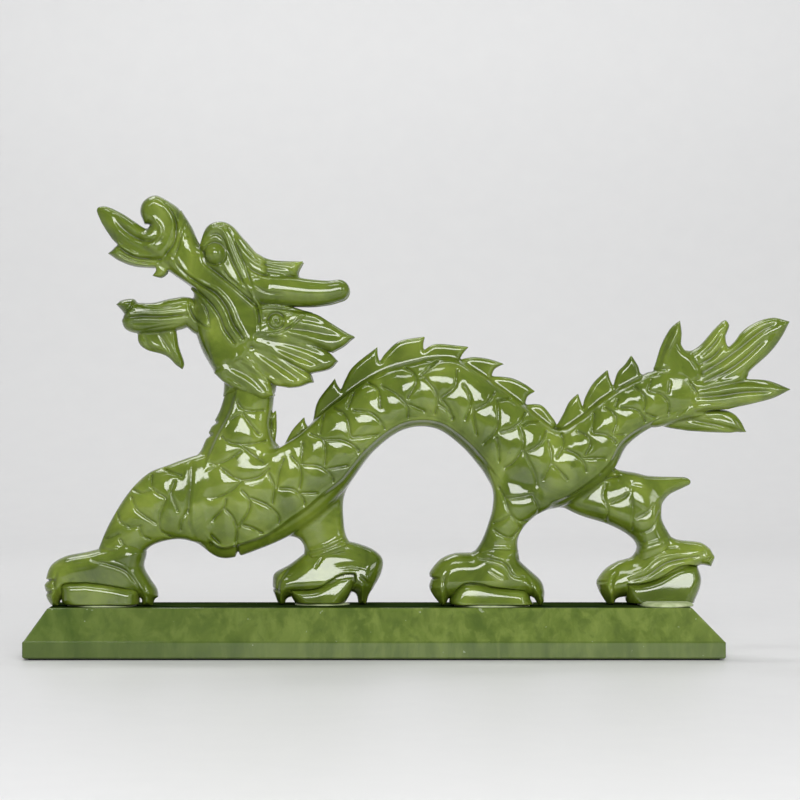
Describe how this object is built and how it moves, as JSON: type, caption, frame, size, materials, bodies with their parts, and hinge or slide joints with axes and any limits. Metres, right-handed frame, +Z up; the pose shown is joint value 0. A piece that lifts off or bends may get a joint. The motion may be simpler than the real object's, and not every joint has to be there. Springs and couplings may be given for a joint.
{
  "type": "jade dragon figurine",
  "caption": "Walking dragon carved in polished green jade, with a finned back and flame tail, its paws on pearls cemented to a long sloped jade plinth with a felt underside.",
  "frame": {"origin": "centre of the plinth's underside, on the felt that it rests on", "axes": "+Z up, +X along the plinth towards the tail (the dragon faces -X), +Y away from the usual viewing side"},
  "size_m": [0.442, 0.08, 0.268],
  "materials": {
    "jade": "high polish, slightly translucent yellow-green jade with cloudy mottling",
    "pearl_jade": "high polish, the same jade cut smooth",
    "plinth_jade": "polished darker jade with pale streaks and flecks",
    "cement": "cured pale translucent stone cement",
    "felt": "thin black felt"
  },
  "bodies": {
    "root": {"base_felt": "felt", "plinth": "plinth_jade", "neck": "jade", "chest": "jade", "forebody": "jade", "arched_back": "jade", "loins": "jade", "tail_root": "jade", "near_foreleg": "jade", "far_foreleg": "jade", "near_hind_leg": "jade", "far_hind_leg": "jade", "hind_spur": "jade", "near_fore_paw": "jade", "far_fore_paw": "jade", "near_hind_paw": "jade", "far_hind_paw": "jade", "near_fore_pearl": "pearl_jade", "far_fore_pearl": "pearl_jade", "near_hind_pearl": "pearl_jade", "far_hind_pearl": "pearl_jade", "near_fore_cement_bed": "cement", "far_fore_cement_bed": "cement", "near_hind_cement_bed": "cement", "far_hind_cement_bed": "cement", "neck_crest": "jade", "fore_crest": "jade", "middle_crest": "jade", "rear_crest": "jade", "tail_crest": "jade", "tail_leaf_1": "jade", "tail_leaf_2": "jade", "tail_leaf_3": "jade", "tail_leaf_4": "jade", "tail_leaf_5": "jade", "head": "jade", "lower_jaw": "jade", "near_horn": "jade", "far_horn": "jade", "near_brow_tuft": "jade", "far_brow_tuft": "jade", "near_mane": "jade", "far_mane": "jade"}
  },
  "joints": []
}
